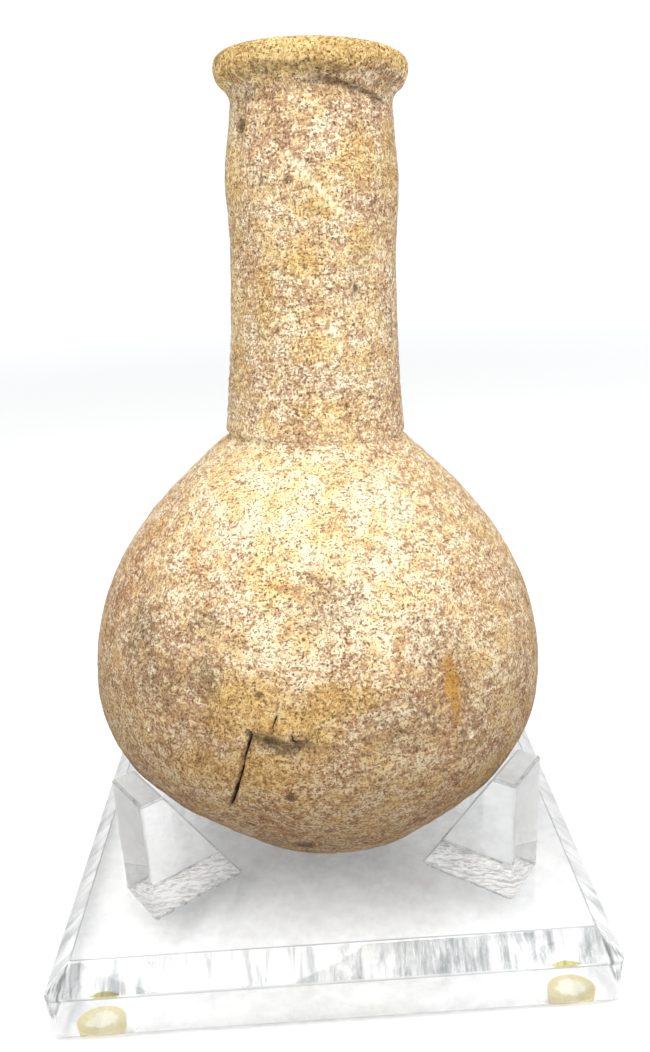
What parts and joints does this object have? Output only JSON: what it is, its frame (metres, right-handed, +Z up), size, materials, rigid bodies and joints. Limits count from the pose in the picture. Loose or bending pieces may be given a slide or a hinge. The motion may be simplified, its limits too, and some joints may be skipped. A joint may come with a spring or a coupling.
{
  "type": "perfume flask",
  "caption": "Round-bottomed buff clay perfume flask with a long neck and rolled lip, resting upright on a clear bevelled acrylic display stand.",
  "frame": {"origin": "on the table, under the middle of the stand's plate", "axes": "+Z up, towards the flask's mouth; -Y is the front that the picture shows; the stand's sides run along X and Y"},
  "size_m": [0.1016, 0.1016, 0.1622],
  "materials": {
    "buff_clay": "matte, gritty, unglazed buff clay with yellow slip, dark specks and soil stains",
    "clear_acrylic": "clear polished acrylic",
    "yellowed_bumper": "translucent yellowed soft plastic"
  },
  "bodies": {
    "root": {"flask": "buff_clay", "stand_plate": "clear_acrylic", "wedge_front_left": "clear_acrylic", "wedge_front_right": "clear_acrylic", "wedge_back_left": "clear_acrylic", "wedge_back_right": "clear_acrylic", "foot_front_left": "yellowed_bumper", "foot_front_right": "yellowed_bumper", "foot_back_left": "yellowed_bumper", "foot_back_right": "yellowed_bumper"}
  },
  "joints": []
}
